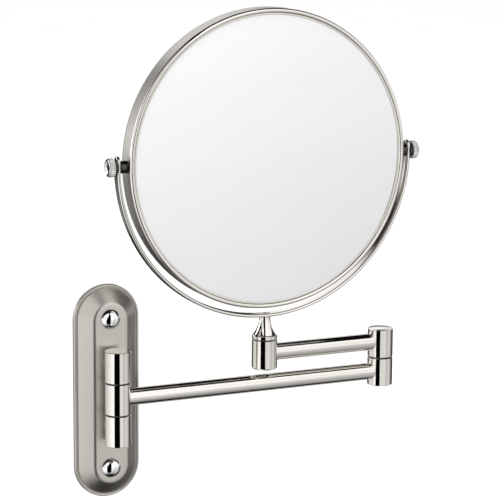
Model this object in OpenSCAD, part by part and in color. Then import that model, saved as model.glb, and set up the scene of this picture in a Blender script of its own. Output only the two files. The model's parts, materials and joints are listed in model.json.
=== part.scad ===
// Extendable shaving mirror: a round two-sided mirror in a half-ring yoke, carried by a
// two-section swing arm on a wall plate. Millimetres. +Z is up and +Y points into the wall.
// The origin is the centre of the wall plate's back face, so the wall is the plane y = 0
// and the mirror faces -Y. The model is drawn with the arm folded flat along the wall.

/* [Wall plate] */
// Height of the wall plate
plate_h = 150.5; // [140:0.5:170]
// Width of the wall plate
plate_w = 47.5; // [46:0.5:54]
// How far the flat middle of the plate stands off the wall
plate_depth = 11; // [9:0.5:11]
// Height of the plate's side wall
plate_rim = 3.4; // [3:0.1:4]
// Sheet thickness of the hollow plate
plate_wall = 2.2; // [1.8:0.1:2.4]
// Distance between the two wall screws
screw_spacing = 105; // [100:1:108]
// Diameter of the polished screw caps
cap_d = 14; // [13.5:0.1:14.5]

/* [Wall hinge] */
// Distance from the wall to the hinge axis
hinge_out = 23.5; // [22:0.5:26]
// Diameter of the hinge barrel
barrel_d = 18; // [17.5:0.5:19]
// Height of the whole hinge barrel
barrel_h = 66; // [62:1:72]
// Diameter of the hinge pin
pin_d = 6; // [5.5:0.1:6.2]

/* [Arms] */
// Distance from the wall hinge to the elbow
lower_reach = 202.5; // [180:0.5:230]
// Distance from the elbow to the mirror stem
upper_reach = 92; // [80:1:95]
// Outer diameter of both arm tubes
tube_d = 12; // [10:0.5:12]
// Wall thickness of both arm tubes
tube_wall = 1.2; // [1:0.1:2]
// Diameter of the two elbow knuckles
elbow_d = 18; // [17.5:0.1:18.5]
// Height of each elbow knuckle
elbow_h = 20; // [20:0.5:22]

/* [Stem and yoke] */
// Diameter of the socket that the stem turns in
socket_d = 18; // [17.5:0.1:18.5]
// Height of the stem's flared part, from the washer to the yoke
stem_h = 15.5; // [14:0.5:20]
// Width of the yoke strip
yoke_w = 8; // [8:0.5:10]
// Thickness of the yoke strip
yoke_t = 2.4; // [2.2:0.1:3]
// Height of the yoke's ends above the tilt axis
yoke_rise = 7.5; // [7:0.5:10]

/* [Mirror] */
// Outer diameter of the mirror frame
mirror_d = 208; // [200:1:230]
// Depth of the mirror frame from bezel to bezel
mirror_depth = 16.5; // [14:0.5:18]
// Gap between the mirror frame and the yoke
yoke_gap = 5; // [5:0.5:7]
// Depth of the hollow in the magnifying glass
magnifier_sag = 4; // [2:0.1:4]
// Diameter of the clamping knobs
knob_d = 12.6; // [12:0.1:14]
// Length of the knurled part of each knob
knob_l = 4.5; // [4:0.5:6]
// Number of grooves round a knob
knob_grooves = 30; // [20:1:36]

/* [Hidden] */
$fn = 96;
eps = 0.01;
run_fit = 0.05;                    // radial clearance of a turning fit
slip_fit = 0.02;                   // radial clearance of pieces that are fixed together
edge = 0.3;                        // small broken edge on turned parts

plate_r = plate_w / 2;
plate_run = plate_h - plate_w;     // straight stretch between the rounded ends
rim_w = 2;                         // flat front of the side wall
groove_w = 0.5;
groove_d = 0.5;
slope_w = 9.6;                     // sloped band from the groove to the flat middle
flat_r = plate_r - rim_w - groove_w - slope_w;
boss_r = 7;
wall_screw_r = 2.4;
wall_screw_core_r = 2.2;           // the stretch inside the plate
wall_screw_out = 32;               // length behind the wall plane
wall_screw_tip = 5;
seat_r = cap_d / 2 - 1.1;
seat_h = 0.8;
cap_h = 4.7;                       // the domed cap off the plate
cap_crown = 4.2;
cap_pocket_crown = 3.1;

barrel_r = barrel_d / 2;
pin_r = pin_d / 2;
joint_gap = 0.7;                   // thickness of the washers between knuckles
knuckle_h = (barrel_h - 2 * joint_gap) / 3;
knuckle_z = knuckle_h + joint_gap; // centre height of an outer knuckle
post_r = 4;
post_end = 4.6;                    // from the hinge axis to the post's seated end
post_screw_r = 2.5;
bush_t = 1;
head_r = 5;
head_h = 3;
head_drop = 0.5;                   // how deep a screw head sits in its counterbore
hex_af = 4;

tube_r = tube_d / 2;
tube_end = 5.8;                    // from a knuckle's axis to the seated end of a tube
elbow_r = elbow_d / 2;
elbow_gap = 0.8;
elbow_x = lower_reach;
stem_x = lower_reach - upper_reach;
elbow_low = -elbow_h / 2;
elbow_mid = elbow_h / 2;
upper_low = elbow_mid + elbow_gap;
upper_z = upper_low + elbow_h / 2;
upper_top = upper_low + elbow_h;
upper_tube_z = upper_z + 0.7;      // the upper tube sits a little above the middle of its knuckle
cap_rim = 0.8;
cap_plug = 1.2;
elbow_crown = 0.9;
bolt_r = 2.5;
nut_af = 8;
nut_h = 3.4;
nut_pocket_r = 5.3;
nut_floor = upper_top - 7.6;

socket_r = socket_d / 2;
socket_h = 21;
socket_low = upper_z - socket_h / 2;
socket_top = upper_z + socket_h / 2;
socket_pocket = 5;                 // depth of the screw pocket in the socket's foot
swivel_gap = 0.6;
stem_low = socket_top + swivel_gap;
flange_r = socket_r - 0.1;
flange_h = 2.5;
neck_r = 3.85;
flare_power = 2.2;                 // how quickly the flare narrows to the neck
flare_steps = 14;
spigot_r = 3;
stem_screw_r = 1.9;

frame_r = mirror_d / 2;
half_depth = mirror_depth / 2;
yoke_in = frame_r + yoke_gap;
yoke_out = yoke_in + yoke_t;
mirror_z = stem_low + stem_h + yoke_out;
mirror_c = [stem_x, -hinge_out, mirror_z];

bead_r = 1.75;                     // the bezel's half-round bead
hoop_w = mirror_depth - 2 * bead_r;
hoop_out = frame_r - 0.2;
hoop_t = 1.5;
hoop_in = hoop_out - hoop_t;
bead_c = frame_r - bead_r;
glass_t = 2;
glass_r = hoop_in - 1.6;
glass_y = hoop_w / 2;              // outer face of each glass from the middle plane
lip_r = glass_r - 1.1;
lip_t = 0.9;
magnifier_r = (glass_r * glass_r + magnifier_sag * magnifier_sag) / (2 * magnifier_sag);
glass_back = glass_y - glass_t;
pad_r = 60;
pad_t = 2 * glass_back - magnifier_sag - 0.3;
spacer_in = glass_r - 2.3;
spacer_h = 2 * glass_back - 0.35;
boss_x0 = glass_r - 6.5;
boss_t = 2 * glass_back - 2;
boss_w = 10;
stud_r = 2;
pivot_spacer_r = 4.25;
washer_t = 0.5;
clamp_washer_r = 5;                // the washer that each knob presses on the yoke
clamp_washer_t = 1;
yoke_bush_r = 3;
hub_r = 4;
hub_l = 0.7;

// ---- places ----

module at_hinge(z = 0) { translate([0, -hinge_out, z]) children(); }
module at_elbow(z = 0) { translate([elbow_x, -hinge_out, z]) children(); }
module at_stem(z = 0) { translate([stem_x, -hinge_out, z]) children(); }
module at_mirror() { translate(mirror_c) children(); }

// turns a piece drawn along +Z so that it points out of the wall, along -Y
module outward() { rotate([90, 0, 0]) children(); }

// turns a piece drawn along +Z so that it points along +X
module along_x() { rotate([0, 90, 0]) children(); }

// both ends of the tilt axis: the left end is the right one turned half way round
module both_pivots() {
    for (turn = [0, 180]) rotate([0, 0, turn]) children();
}

module both_screws() {
    for (side = [-1, 1]) translate([0, 0, side * screw_spacing / 2]) children();
}

module both_posts() {
    for (side = [-1, 1]) translate([0, 0, side * knuckle_z]) children();
}

// ---- shared shapes ----

// a turned barrel from z = 0 with broken edges
module barrel(r, h, break_low = edge, break_top = edge) {
    rotate_extrude() polygon([
        [0, 0], [r - break_low, 0], [r, break_low],
        [r, h - break_top], [r - break_top, h], [0, h]
    ]);
}

module ring(r_out, r_in, h) {
    difference() {
        cylinder(r = r_out, h = h);
        translate([0, 0, -eps]) cylinder(r = r_in, h = h + 2 * eps);
    }
}

// a disc whose top is a shallow dome
module crowned_disc(r, h, crown) {
    dome_r = (r * r + crown * crown) / (2 * crown);
    rotate_extrude() intersection() {
        square([r, h + crown]);
        translate([0, h + crown - dome_r]) circle(r = dome_r, $fn = 720);
    }
}

module spring_washer(r_out, r_in, h) {
    difference() {
        ring(r_out, r_in, h);
        rotate([18, 0, 0]) translate([0, -0.4, -h]) cube([r_out + 1, 0.8, 3 * h]);
    }
}

// a round head from z = 0 down with a hexagon socket in its end
module socket_head(r, h) {
    difference() {
        translate([0, 0, -h]) barrel(r, h, edge, 0);
        translate([0, 0, -h - eps]) cylinder(d = hex_af / cos(30), h = h * 0.6, $fn = 6);
    }
}

// a pan head from z = 0 up with a cross recess
module pan_head(r, h) {
    difference() {
        crowned_disc(r, h - 0.5, 0.5);
        for (turn = [0, 90]) rotate([0, 0, turn])
            translate([-r * 0.55, -0.45, h - 1.1]) cube([r * 1.1, 0.9, 2]);
    }
}

// a tube's round seat in a knuckle, along +X from its floor
module tube_seat() {
    translate([tube_end, 0, 0]) along_x() cylinder(r = tube_r + slip_fit, h = 20);
}

module arm_tube(length) {
    translate([tube_end, 0, 0]) along_x()
        ring(tube_r, tube_r - tube_wall, length - 2 * tube_end);
}

// ---- wall base ----

// sweeps a half section (x = distance from the middle line, y = height off the wall)
// round the plate's rounded ends and along its straight sides
module stadium_sweep() {
    for (side = [0, 1]) mirror([0, 0, side])
        translate([0, 0, plate_run / 2]) outward() rotate_extrude(angle = 180) children();
    for (side = [0, 1]) mirror([side, 0, 0])
        linear_extrude(plate_run, center = true) mirror([0, 1]) children();
}

module plate_section() {
    slope_start = plate_r - rim_w - groove_w;
    rise = plate_depth - plate_rim;
    polygon([
        [0, 0], [plate_r, 0], [plate_r, plate_rim - 0.4], [plate_r - 0.4, plate_rim],
        [slope_start + groove_w, plate_rim], [slope_start + groove_w, plate_rim - groove_d],
        [slope_start, plate_rim - groove_d], [slope_start, plate_rim],
        [slope_start - slope_w * 0.25, plate_rim + rise * 0.27],
        [slope_start - slope_w * 0.5, plate_rim + rise * 0.55],
        [slope_start - slope_w * 0.75, plate_rim + rise * 0.82],
        [slope_start - slope_w * 0.9, plate_rim + rise * 0.955],
        [flat_r - 0.6, plate_depth], [0, plate_depth]
    ]);
}

module plate_hollow_section() {
    foot_r = plate_r - rim_w - groove_w - 0.2;
    ceiling = plate_depth - plate_wall;
    polygon([
        [0, -1], [foot_r, -1], [foot_r, plate_rim - plate_wall],
        [flat_r + 0.4, ceiling], [0, ceiling]
    ]);
}

module wall_plate() {
    color("silver") difference() {
        union() {
            difference() {
                stadium_sweep() plate_section();
                stadium_sweep() plate_hollow_section();
            }
            both_screws() outward() translate([0, 0, 0.4])
                cylinder(r = boss_r, h = plate_depth - 1);
        }
        both_screws() outward() translate([0, 0, -1])
            cylinder(r = wall_screw_r + 0.3, h = plate_depth + 2);
        both_posts() outward() translate([0, 0, -1])
            cylinder(r = post_screw_r + 0.3, h = plate_depth + 2);
    }
}

module hinge_posts() {
    post_l = hinge_out - plate_depth - post_end;
    color("gainsboro") both_posts() outward() translate([0, 0, plate_depth])
        difference() {
            cylinder(r = post_r, h = post_l);
            translate([0, 0, -eps]) cylinder(r = post_screw_r, h = post_l - 1);
        }
}

// an outer knuckle of the wall hinge, drawn from z = 0 up, with the seat of its post
module fixed_knuckle() {
    difference() {
        barrel(barrel_r, knuckle_h);
        translate([0, post_end, knuckle_h / 2]) rotate([-90, 0, 0])
            cylinder(r = post_r + slip_fit, h = barrel_r);
        children();
    }
}

module upper_wall_knuckle() {
    color("gainsboro") at_hinge(knuckle_z - knuckle_h / 2) fixed_knuckle()
        translate([0, 0, -eps]) cylinder(r = pin_r + slip_fit, h = knuckle_h - 2.5);
}

module lower_wall_knuckle() {
    pocket = head_h + head_drop;
    color("gainsboro") at_hinge(-knuckle_z - knuckle_h / 2) fixed_knuckle() {
        translate([0, 0, -eps]) cylinder(r = pin_r + slip_fit, h = knuckle_h + 1);
        translate([0, 0, -eps]) cylinder(r = head_r + 0.2, h = pocket + eps);
    }
}

module post_washers() {
    color("silver") both_posts() outward()
        translate([0, 0, plate_depth - plate_wall - 1]) ring(5.5, post_screw_r + 0.3, 1);
}

module post_screws() {
    seat = plate_depth - plate_wall - 1;
    shank = hinge_out - post_end - 2 - seat;
    color("silver") both_posts() outward() {
        translate([0, 0, seat]) mirror([0, 0, 1]) pan_head(4.4, 2.8);
        translate([0, 0, seat - eps]) cylinder(r = post_screw_r - run_fit, h = shank);
    }
}

module wall_hinge_pin() {
    low = -barrel_h / 2 + head_h + head_drop;
    color("silver") at_hinge(low) {
        socket_head(head_r, head_h);
        translate([0, 0, -eps]) cylinder(r = pin_r, h = barrel_h / 2 - low - 3);
    }
}

module wall_hinge_washers() {
    color("dimgray") for (low = [knuckle_h / 2, -knuckle_h / 2 - joint_gap])
        at_hinge(low) ring(barrel_r - 0.5, pin_r + run_fit, joint_gap);
}

// the screw's stretch behind the wall plane is a little thicker than the one in the plate
module wall_screws() {
    seat = plate_depth + seat_h;
    color("silver") both_screws() outward() {
        translate([0, 0, seat]) pan_head(4.3, 1.7);
        cylinder(r = wall_screw_core_r, h = seat + eps);
        translate([0, 0, -wall_screw_out]) cylinder(r = wall_screw_r, h = wall_screw_out);
        translate([0, 0, -wall_screw_out - wall_screw_tip])
            cylinder(r1 = 0.3, r2 = wall_screw_r, h = wall_screw_tip);
    }
}

module screw_cap_seats() {
    color("dimgray") both_screws() outward() translate([0, 0, plate_depth]) {
        ring(seat_r, wall_screw_core_r + slip_fit, seat_h);
        translate([0, 0, seat_h - eps]) ring(seat_r - 0.6, 4.6, 0.8);
    }
}

module screw_caps() {
    color("white") both_screws() outward() translate([0, 0, plate_depth])
        difference() {
            crowned_disc(cap_d / 2, cap_h - cap_crown, cap_crown);
            translate([0, 0, -eps])
                crowned_disc(seat_r + slip_fit, cap_h - 0.7 - cap_pocket_crown, cap_pocket_crown);
        }
}

// ---- lower arm ----

module middle_wall_knuckle() {
    color("gainsboro") at_hinge() difference() {
        translate([0, 0, -knuckle_h / 2]) barrel(barrel_r, knuckle_h);
        cylinder(r = pin_r + bush_t + slip_fit, h = knuckle_h + 1, center = true);
        tube_seat();
    }
}

module wall_knuckle_bush() {
    color("goldenrod") at_hinge(-knuckle_h / 2)
        ring(pin_r + bush_t, pin_r + run_fit, knuckle_h);
}

module lower_arm_tube() {
    color("gainsboro") at_hinge() arm_tube(lower_reach);
}

module lower_elbow_knuckle() {
    pocket = head_h + head_drop;
    color("gainsboro") at_elbow() difference() {
        translate([0, 0, elbow_low]) barrel(elbow_r, elbow_h);
        translate([0, 0, elbow_low - 1]) cylinder(r = bolt_r + slip_fit, h = elbow_h + 2);
        translate([0, 0, elbow_low - 1]) cylinder(r = head_r + 0.2, h = pocket + 1);
        rotate([0, 0, 180]) tube_seat();
    }
}

module elbow_bolt() {
    low = elbow_low + head_h + head_drop;
    color("silver") at_elbow(low) {
        socket_head(head_r, head_h);
        translate([0, 0, -eps]) cylinder(r = bolt_r, h = upper_top - cap_plug - 0.4 - low);
    }
}

module elbow_washer() {
    color("dimgray") at_elbow(elbow_mid) ring(elbow_r - 0.5, bolt_r + run_fit, elbow_gap);
}

module elbow_flat_washer() {
    color("silver") at_elbow(nut_floor) ring(5, bolt_r + run_fit, 0.9);
}

module elbow_spring_washer() {
    color("silver") at_elbow(nut_floor + 0.9) spring_washer(4.6, bolt_r + run_fit, 1);
}

module elbow_nut() {
    color("silver") at_elbow(nut_floor + 1.9) difference() {
        cylinder(d = nut_af / cos(30), h = nut_h, $fn = 6);
        translate([0, 0, -1]) cylinder(r = bolt_r + slip_fit, h = nut_h + 2);
    }
}

// ---- upper arm ----

module upper_elbow_knuckle() {
    rim_top = upper_top - cap_rim;
    color("gainsboro") at_elbow() difference() {
        translate([0, 0, upper_low]) barrel(elbow_r, rim_top - upper_low, edge, 0);
        translate([0, 0, upper_low - 1])
            cylinder(r = bolt_r + bush_t + slip_fit, h = elbow_h);
        translate([0, 0, nut_floor]) cylinder(r = nut_pocket_r, h = elbow_h);
        translate([0, 0, upper_tube_z]) rotate([0, 0, 180]) tube_seat();
    }
}

module elbow_bush() {
    color("goldenrod") at_elbow(upper_low)
        ring(bolt_r + bush_t, bolt_r + run_fit, nut_floor - upper_low);
}

module elbow_cap() {
    color("gainsboro") at_elbow(upper_top - cap_rim) {
        crowned_disc(elbow_r, cap_rim, elbow_crown);
        translate([0, 0, -cap_plug + 0.4])
            cylinder(r = nut_pocket_r - slip_fit, h = cap_plug - 0.4 + eps);
    }
}

module upper_arm_tube() {
    color("gainsboro") at_elbow(upper_tube_z) rotate([0, 0, 180]) arm_tube(upper_reach);
}

module swivel_socket() {
    color("gainsboro") at_stem() difference() {
        translate([0, 0, socket_low]) barrel(socket_r, socket_h, 1, edge);
        translate([0, 0, socket_low - 1])
            cylinder(r = spigot_r + bush_t + slip_fit, h = socket_h + 2);
        translate([0, 0, socket_low - 1]) cylinder(r = head_r + 0.3, h = socket_pocket + 1);
        translate([0, 0, upper_tube_z]) tube_seat();
    }
}

module socket_bush() {
    low = socket_low + socket_pocket;
    color("goldenrod") at_stem(low)
        ring(spigot_r + bush_t, spigot_r + run_fit, socket_top - low);
}

// ---- yoke ----

module swivel_washer() {
    color("dimgray") at_stem(socket_top)
        ring(socket_r - 0.5, spigot_r + slip_fit, swivel_gap);
}

function flare_r(t) = neck_r + (flange_r - 0.25 - neck_r) * pow(1 - t, flare_power);

// turned stem: a spigot in the socket, a flange, and a flare that narrows to the yoke
module swivel_stem() {
    flare_h = stem_h - flange_h;
    flare = [for (i = [0 : flare_steps]) let (t = i / flare_steps)
        [flare_r(t), flange_h + t * flare_h]];
    spigot_low = socket_low + socket_pocket + 0.1 - stem_low;
    color("gainsboro") at_stem(stem_low) difference() {
        rotate_extrude() polygon(concat(
            [[0, spigot_low], [spigot_r, spigot_low], [spigot_r, 0],
             [flange_r - edge, 0], [flange_r, edge], [flange_r, flange_h]],
            flare,
            [[neck_r, stem_h + 1], [0, stem_h + 1]]
        ));
        translate([0, 0, spigot_low - eps]) cylinder(r = stem_screw_r + slip_fit, h = 10);
        translate([0, 0, stem_h - 8]) cylinder(r = stem_screw_r + slip_fit, h = 10);
        translate([0, 0, stem_h + yoke_out]) rotate([90, 0, 0])
            cylinder(r = yoke_out, h = 20, center = true, $fn = 240);
    }
}

module stem_flat_washer() {
    color("silver") at_stem(socket_low + socket_pocket - 0.9) ring(4.9, stem_screw_r + 0.1, 0.9);
}

module stem_spring_washer() {
    color("silver") at_stem(socket_low + socket_pocket - 1.8)
        spring_washer(3.6, stem_screw_r + 0.1, 0.9);
}

module stem_screw() {
    color("silver") at_stem(socket_low + socket_pocket - 1.8) {
        mirror([0, 0, 1]) pan_head(3.8, 2.4);
        translate([0, 0, -eps]) cylinder(r = stem_screw_r, h = 9);
    }
}

// the half ring below the tilt axis and the two upright tabs with round tips
module yoke() {
    tip_z = yoke_rise - yoke_w / 2;
    color("gainsboro") at_mirror() difference() {
        union() {
            difference() {
                rotate([90, 0, 0]) difference() {
                    cylinder(r = yoke_out, h = yoke_w, center = true, $fn = 240);
                    cylinder(r = yoke_in, h = yoke_w + 1, center = true, $fn = 240);
                }
                translate([-yoke_out - 1, -yoke_w, 0])
                    cube([2 * yoke_out + 2, 2 * yoke_w, yoke_out + 1]);
            }
            both_pivots() translate([yoke_in, 0, 0]) {
                translate([0, -yoke_w / 2, -eps]) cube([yoke_t, yoke_w, tip_z + eps]);
                translate([0, 0, tip_z]) along_x() cylinder(d = yoke_w, h = yoke_t);
            }
        }
        both_pivots() translate([yoke_in - 1, 0, 0]) along_x() {
            cylinder(r = yoke_bush_r + slip_fit, h = yoke_t + 2);
            cylinder(r = hub_r, h = 1);
        }
        translate([0, 0, -yoke_out - 1]) cylinder(r = stem_screw_r + 0.2, h = yoke_t + 2);
        translate([0, 0, -yoke_in - 1.8]) cylinder(r1 = stem_screw_r, r2 = 4.1, h = 2.2);
    }
}

module yoke_screw() {
    head_top = -yoke_in - 0.1;
    color("silver") at_mirror() difference() {
        union() {
            translate([0, 0, head_top - 1.6]) cylinder(r1 = stem_screw_r, r2 = 3.5, h = 1.6);
            translate([0, 0, head_top - 8]) cylinder(r = stem_screw_r, h = 7);
        }
        for (turn = [0, 90]) rotate([0, 0, turn])
            translate([-2, -0.4, head_top - 0.8]) cube([4, 0.8, 2]);
    }
}

module yoke_bushes() {
    color("dimgray") at_mirror() both_pivots() translate([yoke_in, 0, 0]) along_x()
        ring(yoke_bush_r, stud_r + run_fit, yoke_t);
}

// one washer on each face of each yoke end
module pivot_washers() {
    color("dimgray") at_mirror() both_pivots() {
        translate([yoke_in - washer_t, 0, 0]) along_x()
            ring(hub_r - 0.3, stud_r + run_fit, washer_t);
        translate([yoke_out, 0, 0]) along_x()
            ring(clamp_washer_r, stud_r + run_fit, clamp_washer_t);
    }
}

// ---- mirror ----

// sweeps a section (x = radius, y = distance in front of the middle plane) round the frame
module frame_sweep() {
    outward() rotate_extrude($fn = 240) children();
}

module mirror_hoop() {
    color("silver") at_mirror() difference() {
        frame_sweep() translate([hoop_in, -hoop_w / 2]) square([hoop_t, hoop_w]);
        both_pivots() translate([boss_x0, 0, 0]) along_x()
            cylinder(r = stud_r + 0.1, h = 20);
    }
}

// half-round bead, a lip over the glass's edge and a flange inside the hoop
module bezel() {
    frame_sweep() {
        translate([bead_c, glass_y]) intersection() {
            circle(r = bead_r, $fn = 48);
            translate([-bead_r, 0]) square([2 * bead_r, bead_r]);
        }
        translate([lip_r, glass_y]) square([bead_c - lip_r, lip_t]);
        translate([glass_r + 0.2, glass_y - glass_t])
            square([hoop_in - slip_fit - glass_r - 0.2, glass_t + eps]);
    }
}

module front_bezel() { color("gainsboro") at_mirror() bezel(); }
module rear_bezel() { color("gainsboro") at_mirror() rotate([0, 0, 180]) bezel(); }

module plain_mirror() {
    color("aliceblue") at_mirror() outward() translate([0, 0, glass_back])
        cylinder(r = glass_r, h = glass_t, $fn = 240);
}

// hollow outer face and a bulging back, both spherical
module magnifying_mirror() {
    color("aliceblue") at_mirror() rotate([0, 0, 180]) outward() difference() {
        intersection() {
            translate([0, 0, glass_back - magnifier_sag])
                cylinder(r = glass_r, h = glass_t + magnifier_sag, $fn = 240);
            translate([0, 0, glass_back - magnifier_sag + magnifier_r])
                sphere(r = magnifier_r, $fn = 240);
        }
        translate([0, 0, glass_y - magnifier_sag + magnifier_r])
            sphere(r = magnifier_r, $fn = 240);
    }
}

module backing_pad() {
    color("dimgray") at_mirror() outward() translate([0, 0, glass_back - pad_t])
        cylinder(r = pad_r, h = pad_t);
}

// plastic ring that holds the two glasses apart, cut away for the pivot bosses
module spacer_ring() {
    color("dimgray") at_mirror() difference() {
        frame_sweep() translate([spacer_in, -glass_back + 0.35])
            square([hoop_in - slip_fit - spacer_in, spacer_h]);
        both_pivots() translate([boss_x0, -10, -boss_w / 2 - 0.2])
            cube([20, 20, boss_w + 0.4]);
    }
}

module pivot_bosses() {
    color("goldenrod") at_mirror() both_pivots() difference() {
        intersection() {
            translate([boss_x0, -boss_t / 2, -boss_w / 2]) cube([20, boss_t, boss_w]);
            rotate([90, 0, 0]) cylinder(r = hoop_in - slip_fit, h = 20, center = true, $fn = 240);
        }
        translate([boss_x0 - 1, 0, 0]) along_x() cylinder(r = stud_r + run_fit, h = 20);
    }
}

module pivot_spacers() {
    color("dimgray") at_mirror() both_pivots() translate([hoop_out, 0, 0]) along_x()
        ring(pivot_spacer_r, stud_r + 0.1, yoke_in - washer_t - hoop_out);
}

// ---- knobs ----

// a grooved grip with a softened outer face, on a short plain hub
module knob() {
    groove_r = 0.32;
    hub_low = yoke_out + clamp_washer_t;
    translate([hub_low, 0, 0]) along_x() difference() {
        union() {
            cylinder(r = hub_r, h = hub_l + eps);
            translate([0, 0, hub_l]) intersection() {
                linear_extrude(knob_l) difference() {
                    circle(d = knob_d);
                    for (i = [1 : knob_grooves]) rotate(i * 360 / knob_grooves)
                        translate([knob_d / 2, 0]) circle(r = groove_r, $fn = 16);
                }
                barrel(knob_d / 2, knob_l, 0.5, 0.9);
            }
        }
        translate([0, 0, -eps]) cylinder(r = stud_r + slip_fit, h = hub_l + knob_l - 1.5);
    }
}

module knob_stud() {
    start = boss_x0 + 1;
    translate([start, 0, 0]) along_x()
        cylinder(r = stud_r, h = yoke_out + clamp_washer_t + hub_l + knob_l - 1.6 - start);
}

module right_knob() { color("silver") at_mirror() knob(); }
module right_knob_stud() { color("silver") at_mirror() knob_stud(); }
module left_knob() { color("silver") at_mirror() rotate([0, 0, 180]) knob(); }
module left_knob_stud() { color("silver") at_mirror() rotate([0, 0, 180]) knob_stud(); }

wall_plate();
hinge_posts();
upper_wall_knuckle();
lower_wall_knuckle();
post_screws();
post_washers();
wall_hinge_pin();
wall_hinge_washers();
wall_screws();
screw_cap_seats();
screw_caps();
middle_wall_knuckle();
wall_knuckle_bush();
lower_arm_tube();
lower_elbow_knuckle();
elbow_bolt();
elbow_washer();
elbow_flat_washer();
elbow_spring_washer();
elbow_nut();
upper_elbow_knuckle();
elbow_bush();
elbow_cap();
upper_arm_tube();
swivel_socket();
socket_bush();
swivel_washer();
swivel_stem();
stem_flat_washer();
stem_spring_washer();
stem_screw();
yoke();
yoke_screw();
yoke_bushes();
pivot_washers();
mirror_hoop();
front_bezel();
rear_bezel();
plain_mirror();
magnifying_mirror();
backing_pad();
spacer_ring();
pivot_bosses();
pivot_spacers();
left_knob();
left_knob_stud();
right_knob();
right_knob_stud();
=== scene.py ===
import json
import math

import bmesh
import bpy
from mathutils import Matrix, Vector

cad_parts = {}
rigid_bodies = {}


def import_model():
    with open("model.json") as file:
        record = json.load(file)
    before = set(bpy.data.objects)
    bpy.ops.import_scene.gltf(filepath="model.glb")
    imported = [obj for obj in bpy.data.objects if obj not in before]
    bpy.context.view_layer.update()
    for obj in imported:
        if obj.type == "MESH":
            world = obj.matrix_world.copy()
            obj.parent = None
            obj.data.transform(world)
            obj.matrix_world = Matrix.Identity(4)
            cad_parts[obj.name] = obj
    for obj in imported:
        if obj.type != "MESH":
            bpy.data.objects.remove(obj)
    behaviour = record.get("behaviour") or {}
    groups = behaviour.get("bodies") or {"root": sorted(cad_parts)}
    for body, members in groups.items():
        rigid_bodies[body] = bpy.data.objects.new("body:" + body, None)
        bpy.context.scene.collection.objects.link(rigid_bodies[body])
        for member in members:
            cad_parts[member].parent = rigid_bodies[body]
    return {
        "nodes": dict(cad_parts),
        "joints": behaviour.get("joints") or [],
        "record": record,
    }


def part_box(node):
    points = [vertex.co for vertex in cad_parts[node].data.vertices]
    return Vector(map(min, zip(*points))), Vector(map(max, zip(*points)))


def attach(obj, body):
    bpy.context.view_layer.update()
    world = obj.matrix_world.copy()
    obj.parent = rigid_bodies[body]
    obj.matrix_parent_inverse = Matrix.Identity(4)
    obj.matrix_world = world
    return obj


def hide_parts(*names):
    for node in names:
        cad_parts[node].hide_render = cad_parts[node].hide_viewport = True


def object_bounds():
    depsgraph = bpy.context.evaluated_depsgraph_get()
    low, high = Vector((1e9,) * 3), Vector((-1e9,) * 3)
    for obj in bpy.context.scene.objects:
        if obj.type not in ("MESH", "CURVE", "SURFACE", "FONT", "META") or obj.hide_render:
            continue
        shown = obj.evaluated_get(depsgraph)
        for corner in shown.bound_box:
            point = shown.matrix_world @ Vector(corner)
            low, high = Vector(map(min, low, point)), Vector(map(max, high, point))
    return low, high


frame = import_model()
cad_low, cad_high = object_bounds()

MM = 0.001
TURN = 2 * math.pi
NODES = frame["nodes"]
JOINT_AT = {joint["name"]: Vector(joint["pos_m"]) for joint in frame["joints"]}
HINGE = JOINT_AT["wall_swing"]
ELBOW = JOINT_AT["elbow"]
STEM = JOINT_AT["head_swivel"]
PIVOT = JOINT_AT["mirror_tilt"]


# ---- meshes ----

def frame_axes(x_axis, y_axis, z_axis, origin):
    """The matrix whose columns are the three axes and the origin."""
    matrix = Matrix((x_axis, y_axis, z_axis)).transposed().to_4x4()
    matrix.translation = origin
    return matrix


def upright(origin):
    return Matrix.Translation(origin)


def out_of_wall(origin):
    """A place whose z axis points out of the wall, along -Y."""
    return frame_axes((1, 0, 0), (0, 0, 1), (0, -1, 0), origin)


def into_wall(origin):
    """A place whose z axis points into the wall, along +Y."""
    return frame_axes((1, 0, 0), (0, 0, -1), (0, 1, 0), origin)


def to_the_right(origin):
    return frame_axes((0, 1, 0), (0, 0, 1), (1, 0, 0), origin)


def to_the_left(origin):
    return frame_axes((0, 1, 0), (0, 0, -1), (-1, 0, 0), origin)


def mesh_object(name, bm, material, crease=32.0):
    """An object from bm, smooth but for the edges sharper than crease degrees."""
    bmesh.ops.recalc_face_normals(bm, faces=bm.faces)
    mesh = bpy.data.meshes.new(name)
    bm.to_mesh(mesh)
    bm.free()
    mesh.shade_smooth()
    mesh.set_sharp_from_angle(angle=math.radians(crease))
    mesh.materials.append(material)
    piece = bpy.data.objects.new(name, mesh)
    bpy.context.scene.collection.objects.link(piece)
    normals = piece.modifiers.new("Face weighted normals", "WEIGHTED_NORMAL")
    normals.keep_sharp = True
    return piece


def carve(bm, cutters):
    """bm with each cutter taken out of it."""
    stand = bpy.context.scene.collection.objects
    block = bpy.data.objects.new("Uncut", bpy.data.meshes.new("Uncut"))
    bm.to_mesh(block.data)
    stand.link(block)
    spent = [block]
    for cutter in cutters:
        bmesh.ops.recalc_face_normals(cutter, faces=cutter.faces)
        tool = bpy.data.objects.new("Cutter", bpy.data.meshes.new("Cutter"))
        cutter.to_mesh(tool.data)
        cutter.free()
        stand.link(tool)
        spent.append(tool)
        cut = block.modifiers.new("Cut", "BOOLEAN")
        cut.operation = "DIFFERENCE"
        cut.solver = "EXACT"
        cut.object = tool
    shaped = block.evaluated_get(bpy.context.evaluated_depsgraph_get())
    bm.clear()
    bm.from_mesh(shaped.to_mesh())
    shaped.to_mesh_clear()
    for item in spent:
        bpy.data.objects.remove(item)


def stand_for(piece, body, slot, *nodes):
    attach(piece, body)
    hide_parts(*nodes)
    return piece


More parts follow.
